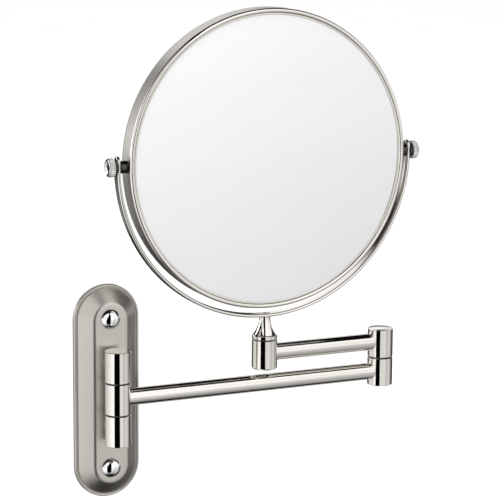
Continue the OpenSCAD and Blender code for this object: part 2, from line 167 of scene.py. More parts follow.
def arc(centre, radius, start, end, steps):
    """Points round an arc, from angle start to angle end in degrees."""
    angles = [math.radians(start + (end - start) * i / steps) for i in range(steps + 1)]
    return [(centre[0] + radius * math.cos(a), centre[1] + radius * math.sin(a)) for a in angles]


def rounded(points, radii, steps=5):
    """The closed outline with each corner turned into a quadratic curve of about that radius."""
    outline = []
    for i, corner in enumerate(points):
        if radii[i] == 0:
            outline.append(corner)
            continue
        here = Vector(corner)
        before = Vector(points[i - 1]) - here
        after = Vector(points[(i + 1) % len(points)]) - here
        angle = before.angle(after)
        reach = radii[i] / math.tan(angle / 2)
        first = here + before.normalized() * min(reach, before.length * 0.5)
        last = here + after.normalized() * min(reach, after.length * 0.5)
        for k in range(steps + 1):
            t = k / steps
            outline.append(tuple(first * (1 - t) ** 2 + here * 2 * t * (1 - t) + last * t * t))
    return outline


def lathe(bm, outline, place, steps=144, closed=True):
    """Turns an outline of (radius, height) points about the z axis of place.
    A point with no radius becomes a pole."""
    rings = []
    for radius, height in outline:
        if radius < 1e-9:
            rings.append([bm.verts.new(place @ Vector((0, 0, height)))])
            continue
        rings.append([
            bm.verts.new(place @ Vector((radius * math.cos(TURN * k / steps),
                                         radius * math.sin(TURN * k / steps), height)))
            for k in range(steps)
        ])
    pairs = list(zip(rings, rings[1:]))
    if closed:
        pairs.append((rings[-1], rings[0]))
    for low, high in pairs:
        join_rings(bm, low, high)
    return bm


def join_rings(bm, low, high):
    if len(low) == 1 and len(high) == 1:
        return
    count = max(len(low), len(high))
    for k in range(count):
        after = (k + 1) % count
        corners = [low[k % len(low)], low[after % len(low)], high[after % len(high)], high[k % len(high)]]
        unique = [v for i, v in enumerate(corners) if v not in corners[:i]]
        bm.faces.new(unique)


# ---- shader helpers ----

class Shader:
    """A material's node tree, with short calls for the nodes used here."""

    def __init__(self, name):
        self.material = bpy.data.materials.new(name)
        self.material.use_nodes = True
        self.tree = self.material.node_tree
        self.bsdf = self.tree.nodes["Principled BSDF"]

    def node(self, kind, **inputs):
        node = self.tree.nodes.new(kind)
        for socket, value in inputs.items():
            self.feed(node, socket.replace("_", " "), value)
        return node

    def feed(self, node, socket, value):
        if isinstance(value, bpy.types.NodeSocket):
            self.tree.links.new(value, node.inputs[socket])
        else:
            node.inputs[socket].default_value = value

    def math(self, operation, first, second=0.0):
        node = self.tree.nodes.new("ShaderNodeMath")
        node.operation = operation
        self.feed(node, 0, first)
        self.feed(node, 1, second)
        return node.outputs[0]

    def place(self):
        return self.node("ShaderNodeTexCoord").outputs["Object"]

    def stretched(self, scale, origin=(0, 0, 0)):
        """Object coordinates from origin, scaled apart along each axis."""
        shift = self.node("ShaderNodeVectorMath")
        shift.operation = "SUBTRACT"
        self.feed(shift, 0, self.place())
        self.feed(shift, 1, origin)
        grow = self.node("ShaderNodeVectorMath")
        grow.operation = "MULTIPLY"
        self.feed(grow, 0, shift.outputs[0])
        self.feed(grow, 1, scale)
        return grow.outputs[0]

    def round_about(self, origin, axis, scale):
        """Coordinates (turn, radius, height) about an axis through origin, scaled apart."""
        shift = self.node("ShaderNodeVectorMath")
        shift.operation = "SUBTRACT"
        self.feed(shift, 0, self.place())
        self.feed(shift, 1, origin)
        parts = self.node("ShaderNodeSeparateXYZ")
        self.feed(parts, 0, shift.outputs[0])
        names = {"X": ("Y", "Z"), "Y": ("Z", "X"), "Z": ("X", "Y")}[axis]
        across, along = parts.outputs[names[0]], parts.outputs[names[1]]
        turn = self.math("ARCTAN2", along, across)
        squares = self.math("ADD", self.math("MULTIPLY", across, across),
                            self.math("MULTIPLY", along, along))
        radius = self.math("SQRT", squares)
        joined = self.node("ShaderNodeCombineXYZ")
        self.feed(joined, 0, self.math("MULTIPLY", turn, scale[0]))
        self.feed(joined, 1, self.math("MULTIPLY", radius, scale[1]))
        self.feed(joined, 2, self.math("MULTIPLY", parts.outputs[axis], scale[2]))
        return joined.outputs[0]

    def noise(self, place, scale=1.0, detail=3.0, roughness=0.5):
        node = self.node("ShaderNodeTexNoise", Vector=place, Scale=scale, Detail=detail,
                         Roughness=roughness)
        return node.outputs["Fac"]

    def between(self, fac, low, high):
        """fac from 0.3 to 0.7, where noise lies, carried over to low to high."""
        node = self.node("ShaderNodeMapRange", Value=fac)
        node.inputs["From Min"].default_value = 0.3
        node.inputs["From Max"].default_value = 0.7
        node.inputs["To Min"].default_value = low
        node.inputs["To Max"].default_value = high
        return node.outputs[0]

    def blend(self, fac, first, second):
        node = self.tree.nodes.new("ShaderNodeMix")
        node.data_type = "RGBA"
        self.feed(node, 0, fac)
        self.feed(node, 6, (*first, 1))
        self.feed(node, 7, (*second, 1))
        return node.outputs[2]

    def bump(self, height, distance, strength=1.0, normal=None):
        node = self.node("ShaderNodeBump", Height=height, Distance=distance, Strength=strength)
        if normal is not None:
            self.feed(node, "Normal", normal)
        return node.outputs[0]

    def finish(self, **inputs):
        for socket, value in inputs.items():
            self.feed(self.bsdf, socket.replace("_", " "), value)
        return self.material


def shade(colour, factor):
    return tuple(min(1.0, c * factor) for c in colour)


# ---- materials ----

NICKEL = (0.82, 0.79, 0.745)
SATIN = (0.69, 0.665, 0.63)
CHROME = (0.90, 0.90, 0.895)


def polished_metal(name, colour, roughness, place_of):
    """Bright plating with faint polishing lines and a little haze. place_of gives the stretched
    coordinates of the lines."""
    s = Shader(name)
    lines = s.noise(place_of(s), detail=4.0, roughness=0.65)
    haze = s.noise(s.place(), scale=45.0, detail=3.0)
    tone = s.between(haze, 0.0, 1.0)
    return s.finish(
        Base_Color=s.blend(tone, shade(colour, 0.975), shade(colour, 1.02)),
        Metallic=1.0,
        Roughness=s.math("ADD", s.between(lines, 0.0, 0.05),
                         s.between(haze, roughness, roughness + 0.03)),
        Normal=s.bump(lines, 0.00001, 0.25),
    )


def satin_metal(name, colour, roughness, place_of, depth=0.00004):
    """Brushed plating: fine lines in the roughness and the surface, with cloudy patches."""
    s = Shader(name)
    lines = s.noise(place_of(s), detail=5.0, roughness=0.7)
    patches = s.noise(s.place(), scale=28.0, detail=4.0)
    tone = s.math("ADD", s.math("MULTIPLY", lines, 0.6), s.math("MULTIPLY", patches, 0.4))
    return s.finish(
        Base_Color=s.blend(s.between(tone, 0.0, 1.0), shade(colour, 0.93), shade(colour, 1.05)),
        Metallic=1.0,
        Roughness=s.math("ADD", s.between(lines, 0.0, 0.08),
                         s.between(patches, roughness, roughness + 0.05)),
        Normal=s.bump(lines, depth, 0.5),
    )


def silvered_glass():
    """Silvered glass with the milky haze that studio light gives it, and traces of wiping."""
    s = Shader("Silvered_glass")
    wiped = s.noise(s.stretched((6, 30, 30)), detail=2.0)
    return s.finish(
        Base_Color=s.blend(s.between(wiped, 0.0, 1.0), (0.81, 0.82, 0.815), (0.83, 0.835, 0.835)),
        Metallic=0.7,
        Roughness=s.between(wiped, 0.004, 0.02),
    )


def moulded_nylon():
    s = Shader("Black_nylon")
    grain = s.noise(s.place(), scale=2600.0, detail=3.0)
    cloud = s.noise(s.place(), scale=160.0, detail=2.0)
    return s.finish(
        Base_Color=s.blend(s.between(cloud, 0.0, 1.0), (0.012, 0.012, 0.013), (0.028, 0.028, 0.030)),
        Roughness=s.between(grain, 0.42, 0.58),
        Normal=s.bump(grain, 0.00002, 0.5),
    )


def zinc_plate():
    """Zinc plate with a faint rainbow of yellow and blue from its passivation."""
    s = Shader("Zinc_steel")
    tarnish = s.noise(s.place(), scale=260.0, detail=3.0)
    grain = s.noise(s.place(), scale=2400.0, detail=2.0)
    return s.finish(
        Base_Color=s.blend(s.between(tarnish, 0.0, 1.0), (0.60, 0.57, 0.50), (0.56, 0.59, 0.63)),
        Metallic=1.0,
        Roughness=s.between(grain, 0.24, 0.38),
        Normal=s.bump(grain, 0.00001, 0.4),
    )


def turned_bronze():
    s = Shader("Bronze")
    turning = s.noise(s.stretched((40, 40, 4200)), detail=2.0)
    stain = s.noise(s.place(), scale=300.0, detail=3.0)
    return s.finish(
        Base_Color=s.blend(s.between(stain, 0.0, 1.0), (0.44, 0.27, 0.13), (0.62, 0.43, 0.22)),
        Metallic=1.0,
        Roughness=s.between(turning, 0.28, 0.42),
        Normal=s.bump(turning, 0.00002, 0.5),
    )


def closed_cell_foam():
    s = Shader("Backing_foam")
    cells = s.node("ShaderNodeTexVoronoi", Vector=s.place(), Scale=900.0).outputs["Distance"]
    cloud = s.noise(s.place(), scale=60.0, detail=2.0)
    return s.finish(
        Base_Color=s.blend(s.between(cloud, 0.0, 1.0), (0.045, 0.045, 0.05), (0.075, 0.075, 0.08)),
        Roughness=0.9,
        Normal=s.bump(cells, 0.00015, 0.6),
    )


def lengthwise(s):
    """Polishing lines along X, as on the arm tubes."""
    return s.stretched((35, 1900, 1900))


def upright_lines(s):
    """Polishing lines along Z, as on the turned barrels."""
    return s.stretched((1700, 1700, 30))


def hoop_lines(s):
    """Brushing that runs round the mirror's frame."""
    return s.round_about(PIVOT, "Y", (9, 1400, 2600))


def bead_lines(s):
    return s.round_about(PIVOT, "Y", (5, 1200, 1200))


def fine_grain(s):
    return s.stretched((900, 900, 900))


POLISHED_UPRIGHT = polished_metal("Polished_nickel_barrels", NICKEL, 0.035, upright_lines)
POLISHED_TUBE = polished_metal("Polished_nickel_tubes", NICKEL, 0.025, lengthwise)
POLISHED_BEAD = polished_metal("Polished_nickel_bezels", NICKEL, 0.03, bead_lines)
POLISHED_YOKE = polished_metal("Polished_nickel_yoke", NICKEL, 0.015, hoop_lines)
# The pivot spacers are nickel; their near-black colour is painted shade, standing in for the dark
# surroundings they reflect.
SPACER_PAINTED_DARK = polished_metal("Nickel_spacers_painted_dark", (0.075, 0.07, 0.065), 0.08, hoop_lines)
SATIN_PLATE = satin_metal("Satin_nickel_plate", (0.63, 0.604, 0.558), 0.30, upright_lines, 0.00003)
SATIN_HOOP = satin_metal("Satin_nickel_hoop", SATIN, 0.26, hoop_lines)
BRIGHT_CHROME = polished_metal("Polished_chrome", CHROME, 0.02, fine_grain)
KNOB_CHROME = polished_metal("Polished_chrome_knobs", (0.74, 0.73, 0.72), 0.05, fine_grain)
GLASS = silvered_glass()
NYLON = moulded_nylon()
ZINC = zinc_plate()
BRONZE = turned_bronze()
FOAM = closed_cell_foam()

FINISH_OF_SLOT = {
    "satin_nickel": SATIN_HOOP, "polished_nickel": POLISHED_UPRIGHT, "polished_chrome": BRIGHT_CHROME,
    "silvered_glass": GLASS, "black_nylon": NYLON, "zinc_steel": ZINC, "bronze": BRONZE,
    "backing_foam": FOAM,
}
FINISH_OF_NODE = {
    "wall_plate": SATIN_PLATE, "lower_arm_tube": POLISHED_TUBE, "upper_arm_tube": POLISHED_TUBE,
    "yoke": POLISHED_YOKE, "pivot_spacers": SPACER_PAINTED_DARK,
    "front_bezel": POLISHED_BEAD, "rear_bezel": POLISHED_BEAD,
}


def finish_cad_nodes():
    for part in frame["record"]["subparts"]:
        name = part["node"]
        finish = FINISH_OF_NODE.get(name, FINISH_OF_SLOT[part["material_slot"]])
        mesh = NODES[name].data
        mesh.materials.clear()
        mesh.materials.append(finish)


# ---- wall plate ----

PLATE_RIM = 3.4 * MM
PLATE_RIM_WIDTH = 2.0 * MM
PLATE_GROOVE = 0.5 * MM
PLATE_GROOVE_DEPTH = 0.7 * MM
PLATE_SLOPE = 9.6 * MM
PLATE_WALL = 2.2 * MM
PLATE_BEND = 4.5 * MM
BOSS_RADIUS = 7.0 * MM
BOSS_BORE = 2.7 * MM
CAP_SKIRT = 0.5 * MM
CAP_SKIN = 0.7 * MM
SCREW_SPACING = frame["record"]["mounts"][1]["dims"]["spacing_y_mm"] * MM


def stadium(inset, half_width, straight, steps):
    """The plate's outline, moved in from its edge: two half circles and two straight sides."""
    radius = half_width - inset
    points = []
    for side in (1, -1):
        for k in range(steps + 1):
            angle = math.pi * k / steps if side > 0 else math.pi + math.pi * k / steps
            points.append((radius * math.cos(angle), side * straight / 2 + radius * math.sin(angle)))
    return points


def plate_front_section(depth):
    """(inset from the edge, height off the wall) from the wall up to the flat middle.
    The rim is half round, and a wide bend joins the slope to the middle."""
    inner = PLATE_RIM_WIDTH + PLATE_GROOVE
    rise = depth - PLATE_RIM
    tilt = math.atan2(rise, PLATE_SLOPE)
    reach = PLATE_BEND * math.tan(tilt / 2)
    bead = PLATE_RIM_WIDTH / 2
    section = [(0.0, 0.0), (0.0, (PLATE_RIM - bead) / 2)]
    section += [(bead - x, y) for x, y in arc((0.0, PLATE_RIM - bead), bead, 0, 172, 18)]
    section += [(PLATE_RIM_WIDTH + 0.06 * MM, PLATE_RIM - PLATE_GROOVE_DEPTH)]
    section += [(inner - 0.06 * MM, PLATE_RIM - PLATE_GROOVE_DEPTH), (inner, PLATE_RIM - 0.15 * MM)]
    section += [(inner + 0.15 * MM, PLATE_RIM + 0.12 * MM)]
    bend_x = inner + PLATE_SLOPE + reach
    for k in range(17):
        angle = tilt * (1 - k / 16)
        section.append((bend_x - PLATE_BEND * math.sin(angle), depth - PLATE_BEND * (1 - math.cos(angle))))
    return section


def plate_back_section(depth):
    inner = PLATE_RIM_WIDTH + PLATE_GROOVE
    ceiling = depth - PLATE_WALL
    floor_inset = inner + PLATE_SLOPE - 0.4 * MM
    return [
        (floor_inset + 1.5 * MM, ceiling), (floor_inset, ceiling),
        (floor_inset - 0.8 * MM, ceiling - 0.5 * MM),
        (inner + 1.0 * MM, PLATE_RIM - PLATE_WALL + 0.7 * MM), (inner + 0.2 * MM, PLATE_RIM - PLATE_WALL),
        (inner + 0.2 * MM, 0.3 * MM), (inner, 0.0),
    ]


def build_wall_plate():
    low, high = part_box("wall_plate")
    half_width = (high.x - low.x) / 2
    straight = (high.z - low.z) - 2 * half_width
    depth = -low.y
    bm = bmesh.new()
    place = out_of_wall(Vector((0, 0, 0)))
    loops = []
    front = plate_front_section(depth)
    for inset, height in front + plate_back_section(depth):
        outline = stadium(inset, half_width, straight, 48)
        loops.append([bm.verts.new(place @ Vector((x, y, height))) for x, y in outline])
    front_count = len(front)
    for index in range(len(loops)):
        if index == front_count - 1:
            bm.faces.new(loops[index])
            bm.faces.new(loops[index + 1])
            continue
        join_rings(bm, loops[index], loops[(index + 1) % len(loops)])
    for side in (-1, 1):
        boss = out_of_wall(Vector((0, 0, side * SCREW_SPACING / 2)))
        outline = rounded(
            [(BOSS_BORE, 0.4 * MM), (BOSS_RADIUS, 0.4 * MM), (BOSS_RADIUS, depth - PLATE_WALL + 0.4 * MM),
             (BOSS_BORE, depth - PLATE_WALL + 0.4 * MM)],
            [0.2 * MM, 0.4 * MM, 0, 0])
        lathe(bm, outline, boss, 64)
    piece = mesh_object("wall_plate_shell", bm, SATIN_PLATE, 24)
    return stand_for(piece, "wall_base", "satin_nickel", "wall_plate")


# ---- screw caps and wall screws ----

def build_screw_caps():
    """Thin domes over the screw heads, with a short upright skirt and an open back."""
    low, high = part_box("screw_caps")
    radius = (high.x - low.x) / 2
    tall = high.y - low.y
    crown = tall - CAP_SKIRT
    dome = (radius ** 2 + crown ** 2) / (2 * crown)
    inside = dome - CAP_SKIN
    centre = tall - dome
    steps = 24
    bm = bmesh.new()
    for side in (-1, 1):
        outline = []
        for k in range(steps + 1):
            r = (radius - CAP_SKIN * 1.4) * k / steps
            outline.append((r, centre + math.sqrt(inside ** 2 - r ** 2)))
        outline += [(radius - CAP_SKIN * 1.4, 0.0), (radius - 0.15 * MM, 0.0), (radius, 0.15 * MM)]
        for k in range(steps + 1):
            r = radius * math.cos(math.pi / 2 * k / steps)
            outline.append((r if k < steps else 0.0, centre + math.sqrt(dome ** 2 - r ** 2)))
        lathe(bm, outline, out_of_wall(Vector((0, high.y, side * SCREW_SPACING / 2))), 96, closed=False)
    piece = mesh_object("screw_cap_domes", bm, BRIGHT_CHROME, 35)
    return stand_for(piece, "wall_base", "polished_chrome", "screw_caps")


def screw_thread(bm, place, start, end, core, crest, pitch, taper=0.0, steps=28):
    """A helical ridge on a core from start to end along z, running out at both ends.
    Over the last stretch, as long as taper, core and crest narrow to a point."""
    turns = abs(end - start) / pitch
    count = int(turns * steps)
    way = 1 if end > start else -1
    shape = [(-0.42, 0.0), (-0.12, 0.85), (0.0, 1.0), (0.12, 0.85), (0.42, 0.0)]
    rows = []
    for i in range(count + 1):
        t = i / steps * pitch
        left = abs(end - start) - t
        body = min(1.0, left / taper) if taper > 0 else 1.0
        fade = min(1.0, t / pitch, left / (0.6 * pitch))
        angle = TURN * i / steps
        row = []
        for along, high in shape:
            radius = core * body * 0.97 + (crest - core) * high * fade * (0.35 + 0.65 * body)
            z = start + way * (t + along * pitch)
            spot = Vector((radius * math.cos(angle), radius * math.sin(angle), z))
            row.append(bm.verts.new(place @ spot))
        rows.append(row)
    for low, high in zip(rows, rows[1:]):
        for k in range(len(shape) - 1):
            bm.faces.new((low[k], low[k + 1], high[k + 1], high[k]))
        bm.faces.new((low[-1], low[0], high[0], high[-1]))
    bm.faces.new(rows[0])
    bm.faces.new(rows[-1])


def build_wall_screws():
    low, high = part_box("wall_screws")
    head_radius = (high.x - low.x) / 2
    head_top = -low.y
    head_seat = head_top - 1.7 * MM
    shank = 2.2 * MM
    core = 1.65 * MM
    crest = 2.4 * MM
    tip = 5 * MM
    length = high.y
    bm = bmesh.new()
    for side in (-1, 1):
        place = out_of_wall(Vector((0, 0, side * SCREW_SPACING / 2)))
        outline = [(0.0, head_top - 1.0 * MM), (1.6 * MM, head_top - 0.9 * MM)]
        outline += [(1.9 * MM, head_top - 0.1 * MM), (2.2 * MM, head_top)]
        outline += arc((head_radius - 1.2 * MM, head_top - 1.25 * MM), 1.2 * MM, 80, 0, 7)
        outline += [(head_radius, head_seat), (shank, head_seat), (shank, -2.0 * MM), (core, -3.2 * MM)]
        outline += [(core, -(length - tip)), (0.25 * MM, -(length - 0.3 * MM)), (0.0, -length)]
        lathe(bm, outline, place, 48, closed=False)
        screw_thread(bm, place, -2.6 * MM, -(length - 0.5 * MM), core, crest, 1.9 * MM, tip)
    piece = mesh_object("wall_screws_threaded", bm, ZINC, 40)
    return stand_for(piece, "wall_base", "zinc_steel", "wall_screws")


# ---- stem ----

def build_stem():
    low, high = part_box("swivel_stem")
    flange = (high.x - low.x) / 2
    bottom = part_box("swivel_washer")[1].z
    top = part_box("yoke")[0].z + 0.5 * MM
    neck = 3.85 * MM
    flange_high = 2.5 * MM
    spigot = 3.0 * MM
    outline = [(0.0, low.z), (spigot - 0.2 * MM, low.z), (spigot, low.z + 0.2 * MM), (spigot, bottom)]
    outline += [(flange - 0.35 * MM, bottom)]
    outline += arc((flange - 0.3 * MM, bottom + 0.3 * MM), 0.3 * MM, -75, 0, 4)
    outline += arc((flange - 0.3 * MM, bottom + flange_high - 0.3 * MM), 0.3 * MM, 0, 90, 5)
    start = bottom + flange_high
    for k in range(1, 37):
        t = k / 36
        radius = neck + (flange - 0.5 * MM - neck) * (1 - t) ** 2.2
        outline.append((radius, start + t * (top - start)))
    outline.append((0.0, top))
    bm = bmesh.new()
    lathe(bm, outline, upright(Vector((STEM.x, STEM.y, 0))), 128, closed=False)
    piece = mesh_object("swivel_stem_turned", bm, POLISHED_UPRIGHT, 30)
    return stand_for(piece, "yoke_frame", "polished_nickel", "swivel_stem")


# ---- yoke ----

YOKE_THICK = 2.4 * MM
YOKE_BUSH_HOLE = [(0, -1), (3.02, -1), (3.02, 4), (0, 4)]                       # (radius, height), mm
YOKE_SCREW_HOLE = [(0, -4), (2.1, -4), (2.1, -1.6), (4.1, 0.4), (0, 0.4)]


def yoke_rings(bm, half_straight, half_width):
    """Closed rings over the round edge of the flat strip, from its lower face to its upper one."""
    count, turns, slopes = 200, 12, 12
    rings = []
    for step in range(slopes + 1):
        slope = math.radians(-90 + 180 * step / slopes)
        height = YOKE_THICK / 2 * math.sin(slope)
        radius = half_width - YOKE_THICK / 2 * (1 - math.cos(slope))
        side = [(half_straight * (2 * k / count - 1), radius) for k in range(count + 1)]
        tip = arc((half_straight, 0), radius, 90, -90, turns)[1:-1]
        half = side + tip
        outline = half + [(-along, -across) for along, across in half]
        rings.append([bm.verts.new((along, across, height)) for along, across in outline])
    for low, high in zip(rings, rings[1:]):
        join_rings(bm, low, high)
    for ring in (rings[0], rings[-1]):
        near, far = ring[:count + 1], ring[len(half):len(half) + count + 1][::-1]
        for k in range(count):
            bm.faces.new((near[k], near[k + 1], far[k + 1], far[k]))
        bm.faces.new(ring[count:len(half) + 1])
        bm.faces.new(ring[len(half) + count:] + [ring[0]])


def drill(place, outline):
    """A cutter in the shape of a round hole, from (radius, height) points in millimetres."""
    bm = bmesh.new()
    lathe(bm, [(radius * MM, height * MM) for radius, height in outline], place, 48, closed=False)
    return bm


def build_yoke():
    """The strip is made flat with round edges, bent round the mirror, and drilled."""
    low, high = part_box("yoke")
    outer = (high.x - low.x) / 2
    inner = outer - YOKE_THICK
    middle = outer - YOKE_THICK / 2
    half_width = (high.y - low.y) / 2
    tip_centre = high.z - PIVOT.z - half_width
    bm = bmesh.new()
    yoke_rings(bm, middle * math.pi / 2 + tip_centre, half_width)
    for vert in bm.verts:
        along, side, height = vert.co
        radius = middle + height
        turn = max(-math.pi / 2, min(math.pi / 2, along / middle))
        spare = abs(along - turn * middle)
        vert.co = PIVOT + Vector((radius * math.sin(turn), side, spare - radius * math.cos(turn)))
    bmesh.ops.recalc_face_normals(bm, faces=bm.faces)
    carve(bm, [
        drill(to_the_right(PIVOT + Vector((inner, 0, 0))), YOKE_BUSH_HOLE),
        drill(to_the_left(PIVOT - Vector((inner, 0, 0))), YOKE_BUSH_HOLE),
        drill(upright(PIVOT - Vector((0, 0, inner))), YOKE_SCREW_HOLE),
    ])
    piece = mesh_object("yoke_strip", bm, POLISHED_YOKE, 40)
    return stand_for(piece, "yoke_frame", "polished_nickel", "yoke")


# ---- mirror head ----

BEAD = 1.75 * MM
LIP_THICK = 0.9 * MM
GLASS_THICK = 2.0 * MM
HOOP_WALL = 1.5 * MM


def build_bezel(name, node, place, frame_radius, glass_radius, glass_front):
    """A half-round bead, a fine step, and a lip that laps over the edge of the glass."""
    lip = glass_radius - 1.1 * MM
    hoop_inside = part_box("mirror_hoop")[1].x - PIVOT.x - HOOP_WALL
    centre = frame_radius - BEAD
    outline = [(lip + 0.15 * MM, glass_front)]
    outline += [(lip, glass_front + 0.12 * MM)]
    outline += arc((lip + 0.35 * MM, glass_front + LIP_THICK - 0.35 * MM), 0.35 * MM, 180, 95, 5)
    valley = centre - BEAD
    outline += [(valley - 0.05 * MM, glass_front + LIP_THICK)]
    outline += [(valley + 0.02 * MM, glass_front + LIP_THICK - 0.25 * MM)]
    outline += arc((centre, glass_front), BEAD, 154, 0, 22)
    glass_back = glass_front - GLASS_THICK
    outside = hoop_inside - 0.02 * MM
    inside = glass_radius + 0.2 * MM
    outline += [(outside, glass_front), (outside, glass_back), (inside, glass_back), (inside, glass_front)]
    bm = bmesh.new()
    lathe(bm, outline, place, 360)
    piece = mesh_object(name, bm, POLISHED_BEAD, 35)
    return stand_for(piece, "mirror_head", "polished_nickel", node)


def build_hoop():
    low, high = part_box("mirror_hoop")
    outer = (high.x - low.x) / 2
    half = (high.y - low.y) / 2
    inner = outer - HOOP_WALL
    outline = rounded([(inner, -half), (outer, -half), (outer, half), (inner, half)],
                      [0, 0.25 * MM, 0.25 * MM, 0], 4)
    bm = bmesh.new()
    lathe(bm, outline, out_of_wall(PIVOT), 360)
    piece = mesh_object("mirror_hoop_band", bm, SATIN_HOOP, 40)
    return stand_for(piece, "mirror_head", "satin_nickel", "mirror_hoop")


def build_plain_glass(glass_radius, glass_front):
    chamfer = 0.4 * MM
    outline = [
        (0.0, glass_front - GLASS_THICK), (glass_radius - chamfer, glass_front - GLASS_THICK),
        (glass_radius, glass_front - GLASS_THICK + chamfer), (glass_radius, glass_front - chamfer),
        (glass_radius - chamfer, glass_front), (glass_radius * 0.5, glass_front), (0.0, glass_front),
    ]
    bm = bmesh.new()
    lathe(bm, outline, out_of_wall(PIVOT), 240, closed=False)
    piece = mesh_object("plain_mirror_glass", bm, GLASS, 20)
    return stand_for(piece, "mirror_head", "silvered_glass", "plain_mirror")


def build_magnifying_glass(glass_radius, glass_front):
    """Both faces are parts of spheres, so the glass is the same thickness all over."""
    low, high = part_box("magnifying_mirror")
    sag = (high.y - low.y) - GLASS_THICK
    sphere = (glass_radius ** 2 + sag ** 2) / (2 * sag)
    steps = 48
    front = []
    back = []
    for k in range(steps + 1):
        radius = glass_radius * k / steps
        drop = sag - (sphere - math.sqrt(sphere ** 2 - radius ** 2))
        back.append((radius, glass_front - drop - GLASS_THICK))
        front.append((radius, glass_front - drop))
    bm = bmesh.new()
    lathe(bm, back + front[::-1], into_wall(PIVOT), 240, closed=False)
    piece = mesh_object("magnifying_mirror_glass", bm, GLASS, 30)
    return stand_for(piece, "mirror_head", "silvered_glass", "magnifying_mirror")


def build_mirror_head():
    low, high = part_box("plain_mirror")
    glass_radius = (high.x - low.x) / 2
    glass_front = PIVOT.y - low.y
    frame_low, frame_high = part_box("front_bezel")
    frame_radius = (frame_high.x - frame_low.x) / 2
    sizes = (frame_radius, glass_radius, glass_front)
    build_hoop()
    build_bezel("front_bezel_ring", "front_bezel", out_of_wall(PIVOT), *sizes)
    build_bezel("rear_bezel_ring", "rear_bezel", into_wall(PIVOT), *sizes)
    build_plain_glass(glass_radius, glass_front)
    build_magnifying_glass(glass_radius, glass_front)


# ---- knobs ----

KNOB_RIBS = 26
KNOB_HUB = 0.7 * MM
KNOB_RIB_DEPTH = 0.5 * MM


def knob_outline(radius, length):
    """(height, radius, share of the rib depth) along the knob, from the hub to the outer face."""
    hub = 4.0 * MM
    top = KNOB_HUB + length
    rows = [(0.0, 2.02 * MM, 0), (0.0, hub - 0.2 * MM, 0), (0.2 * MM, hub, 0), (KNOB_HUB, hub, 0)]
    rows += [(KNOB_HUB, radius - 0.75 * MM, 0), (KNOB_HUB + 0.12 * MM, radius - 0.5 * MM, 0.3)]
    rows += [(KNOB_HUB + 0.4 * MM, radius - 0.1 * MM, 0.9), (KNOB_HUB + 0.6 * MM, radius, 1)]
    rows += [(top - 0.95 * MM, radius, 1), (top - 0.75 * MM, radius - 0.08 * MM, 0.9)]
    rows += [(top - 0.35 * MM, radius - 0.4 * MM, 0.35), (top - 0.12 * MM, radius - 0.72 * MM, 0)]
    rows += [(top, radius - 1.1 * MM, 0), (top - 0.04 * MM, radius - 1.5 * MM, 0)]
    for r, drop in ((4.4, 0.25), (4.0, 0.5), (3.5, 0.7), (2.8, 0.82), (2.0, 0.88), (1.0, 0.9), (0.0, 0.9)):
        rows.append((top - drop * MM, r * MM, 0))
    return rows


def build_knob(name, node, place, body):
    low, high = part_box(node)
    radius = (high.z - low.z) / 2
    length = (high.x - low.x) - KNOB_HUB
    steps = KNOB_RIBS * 10
    bm = bmesh.new()
    rings = []
    for height, r, share in knob_outline(radius, length):
        if r == 0.0:
            rings.append([bm.verts.new(place @ Vector((0, 0, height)))])
            continue
        ring = []
        for k in range(steps):
            angle = TURN * k / steps
            groove = (0.5 + 0.5 * math.cos(KNOB_RIBS * angle)) ** 1.6
            here = r - KNOB_RIB_DEPTH * share * groove
            spot = Vector((here * math.cos(angle), here * math.sin(angle), height))
            ring.append(bm.verts.new(place @ spot))
        rings.append(ring)
    for lower, upper in zip(rings, rings[1:]):
        join_rings(bm, lower, upper)
    bm.faces.new(rings[0])
    piece = mesh_object(name, bm, KNOB_CHROME, 38)
    return stand_for(piece, body, "polished_chrome", node)


def build_knobs():
    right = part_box("right_knob")[0].x
    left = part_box("left_knob")[1].x
    right_hub = to_the_right(Vector((right, PIVOT.y, PIVOT.z)))
    left_hub = to_the_left(Vector((left, PIVOT.y, PIVOT.z)))
    build_knob("right_knob_knurled", "right_knob", right_hub, "right_clamp")
    build_knob("left_knob_knurled", "left_knob", left_hub, "left_clamp")


# ---- studio ----

CAMERA_AZIMUTH = -25.12
CAMERA_ELEVATION = 10.7
CAMERA_ROLL = -0.4
CAMERA_DISTANCE = 1.546
CAMERA_TARGET = Vector((0.0994, -0.022, 0.0951))
CAMERA_LENS = 160.6
CAMERA_SENSOR = 36.0


def direction(azimuth, elevation):
    a, e = math.radians(azimuth), math.radians(elevation)
    return Vector((math.sin(a) * math.cos(e), -math.cos(a) * math.cos(e), math.sin(e)))


def make_camera():
    back = direction(CAMERA_AZIMUTH, CAMERA_ELEVATION)
    level = (-back).cross(Vector((0, 0, 1))).normalized()
    upward = level.cross(-back)
    roll = math.radians(CAMERA_ROLL)
    across = level * math.cos(roll) - upward * math.sin(roll)
    up = level * math.sin(roll) + upward * math.cos(roll)
    data = bpy.data.cameras.new("Camera")
    data.lens = CAMERA_LENS
    data.sensor_width = CAMERA_SENSOR
    camera = bpy.data.objects.new("Camera", data)
    camera.matrix_world = frame_axes(across, up, back, CAMERA_TARGET + back * CAMERA_DISTANCE)
    bpy.context.scene.collection.objects.link(camera)
    bpy.context.scene.camera = camera


FLOOR_DROP = 0.33
FLOOR_REACH = 16.0


def make_floor():
    bm = bmesh.new()
    height = cad_low.z - FLOOR_DROP
    corners = [(-1, -1), (1, -1), (1, 1), (-1, 1)]
    bm.faces.new([bm.verts.new((x * FLOOR_REACH, y * FLOOR_REACH, height)) for x, y in corners])
    s = Shader("Pale_floor")
    mottle = s.noise(s.place(), scale=3.0, detail=3.0)
    material = s.finish(
        Base_Color=s.blend(s.between(mottle, 0.0, 1.0), (0.93, 0.93, 0.93), (0.95, 0.95, 0.95)),
        Roughness=0.9,
    )
    floor = mesh_object("Floor", bm, material)
    floor.visible_glossy = False


